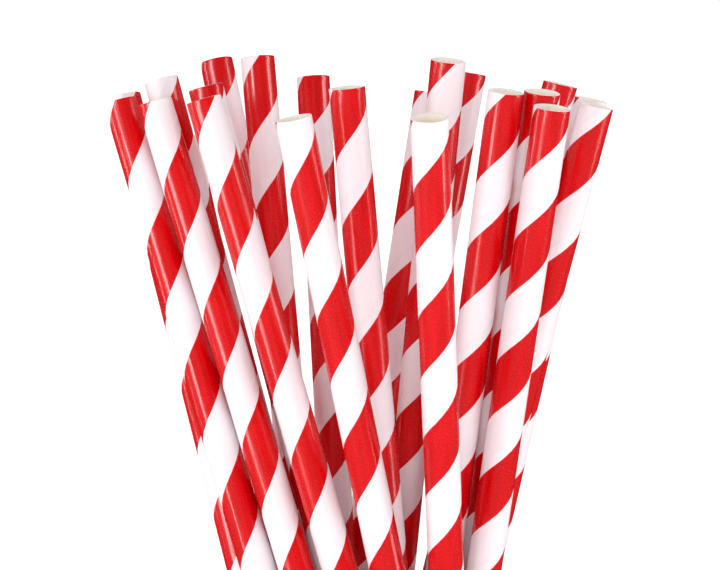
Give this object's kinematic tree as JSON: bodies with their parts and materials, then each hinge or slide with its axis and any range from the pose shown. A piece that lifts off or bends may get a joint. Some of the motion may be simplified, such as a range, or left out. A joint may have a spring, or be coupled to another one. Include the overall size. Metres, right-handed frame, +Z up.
{
  "type": "bunch of drinking straws",
  "caption": "Bunch of red and white spiral-striped paper drinking straws, open at both ends, fanned out above a rubber band round their waist.",
  "frame": {"origin": "on the ground, under the centre of the bunch's box", "axes": "+Z up along the bunch, -Y the front, +X the right-hand side"},
  "size_m": [0.0876, 0.0708, 0.2018],
  "materials": {
    "striped_paper": "smooth coated paper, red and white spiral stripes, slight gloss",
    "rubber": "plain natural rubber, matte"
  },
  "bodies": {
    "band": {"band": "rubber"},
    "straw_01": {"straw_01": "striped_paper"},
    "straw_02": {"straw_02": "striped_paper"},
    "straw_03": {"straw_03": "striped_paper"},
    "straw_04": {"straw_04": "striped_paper"},
    "straw_05": {"straw_05": "striped_paper"},
    "straw_06": {"straw_06": "striped_paper"},
    "straw_07": {"straw_07": "striped_paper"},
    "straw_08": {"straw_08": "striped_paper"},
    "straw_09": {"straw_09": "striped_paper"},
    "straw_10": {"straw_10": "striped_paper"},
    "straw_11": {"straw_11": "striped_paper"},
    "straw_12": {"straw_12": "striped_paper"},
    "straw_13": {"straw_13": "striped_paper"},
    "straw_14": {"straw_14": "striped_paper"},
    "straw_15": {"straw_15": "striped_paper"},
    "straw_16": {"straw_16": "striped_paper"},
    "straw_17": {"straw_17": "striped_paper"},
    "straw_18": {"straw_18": "striped_paper"},
    "straw_19": {"straw_19": "striped_paper"},
    "straw_20": {"straw_20": "striped_paper"},
    "straw_21": {"straw_21": "striped_paper"},
    "straw_22": {"straw_22": "striped_paper"}
  },
  "joints": [
    {"name": "straw_01_pull", "type": "slide", "parent": "band", "child": "straw_01", "axis": [-0.287, 0.2042, 0.9359], "range_m": [0, 0.1]},
    {"name": "straw_02_pull", "type": "slide", "parent": "band", "child": "straw_02", "axis": [-0.2538, 0.2392, 0.9372], "range_m": [0, 0.1]},
    {"name": "straw_03_pull", "type": "slide", "parent": "band", "child": "straw_03", "axis": [-0.2918, 0.1599, 0.943], "range_m": [0, 0.1]},
    {"name": "straw_04_pull", "type": "slide", "parent": "band", "child": "straw_04", "axis": [-0.2618, 0.1705, 0.9499], "range_m": [0, 0.1]},
    {"name": "straw_05_pull", "type": "slide", "parent": "band", "child": "straw_05", "axis": [-0.2254, 0.2745, 0.9348], "range_m": [0, 0.1]},
    {"name": "straw_06_pull", "type": "slide", "parent": "band", "child": "straw_06", "axis": [-0.2757, 0.1011, 0.9559], "range_m": [0, 0.1]},
    {"name": "straw_07_pull", "type": "slide", "parent": "band", "child": "straw_07", "axis": [-0.2522, 0.1106, 0.9613], "range_m": [0, 0.1]},
    {"name": "straw_08_pull", "type": "slide", "parent": "band", "child": "straw_08", "axis": [-0.21, 0.2213, 0.9523], "range_m": [0, 0.1]},
    {"name": "straw_09_pull", "type": "slide", "parent": "band", "child": "straw_09", "axis": [-0.0876, 0.1813, 0.9795], "range_m": [0, 0.1]},
    {"name": "straw_10_pull", "type": "slide", "parent": "band", "child": "straw_10", "axis": [-0.1947, -0.0746, 0.978], "range_m": [0, 0.1]},
    {"name": "straw_11_pull", "type": "slide", "parent": "band", "child": "straw_11", "axis": [-0.0894, -0.0404, 0.9952], "range_m": [0, 0.1]},
    {"name": "straw_12_pull", "type": "slide", "parent": "band", "child": "straw_12", "axis": [-0.0529, 0.1597, 0.9857], "range_m": [0, 0.1]},
    {"name": "straw_13_pull", "type": "slide", "parent": "band", "child": "straw_13", "axis": [0.0852, -0.1176, 0.9894], "range_m": [0, 0.1]},
    {"name": "straw_14_pull", "type": "slide", "parent": "band", "child": "straw_14", "axis": [0.1692, 0.0595, 0.9838], "range_m": [0, 0.1]},
    {"name": "straw_15_pull", "type": "slide", "parent": "band", "child": "straw_15", "axis": [0.1513, 0.0923, 0.9842], "range_m": [0, 0.1]},
    {"name": "straw_16_pull", "type": "slide", "parent": "band", "child": "straw_16", "axis": [0.1117, -0.1286, 0.9854], "range_m": [0, 0.1]},
    {"name": "straw_17_pull", "type": "slide", "parent": "band", "child": "straw_17", "axis": [0.1115, -0.1173, 0.9868], "range_m": [0, 0.1]},
    {"name": "straw_18_pull", "type": "slide", "parent": "band", "child": "straw_18", "axis": [-0.0466, -0.1864, 0.9814], "range_m": [0, 0.1]},
    {"name": "straw_19_pull", "type": "slide", "parent": "band", "child": "straw_19", "axis": [0.2258, -0.0143, 0.9741], "range_m": [0, 0.1]},
    {"name": "straw_20_pull", "type": "slide", "parent": "band", "child": "straw_20", "axis": [0.2024, -0.0224, 0.979], "range_m": [0, 0.1]},
    {"name": "straw_21_pull", "type": "slide", "parent": "band", "child": "straw_21", "axis": [0.1178, -0.128, 0.9848], "range_m": [0, 0.1]},
    {"name": "straw_22_pull", "type": "slide", "parent": "band", "child": "straw_22", "axis": [0.2372, -0.0458, 0.9704], "range_m": [0, 0.1]}
  ]
}
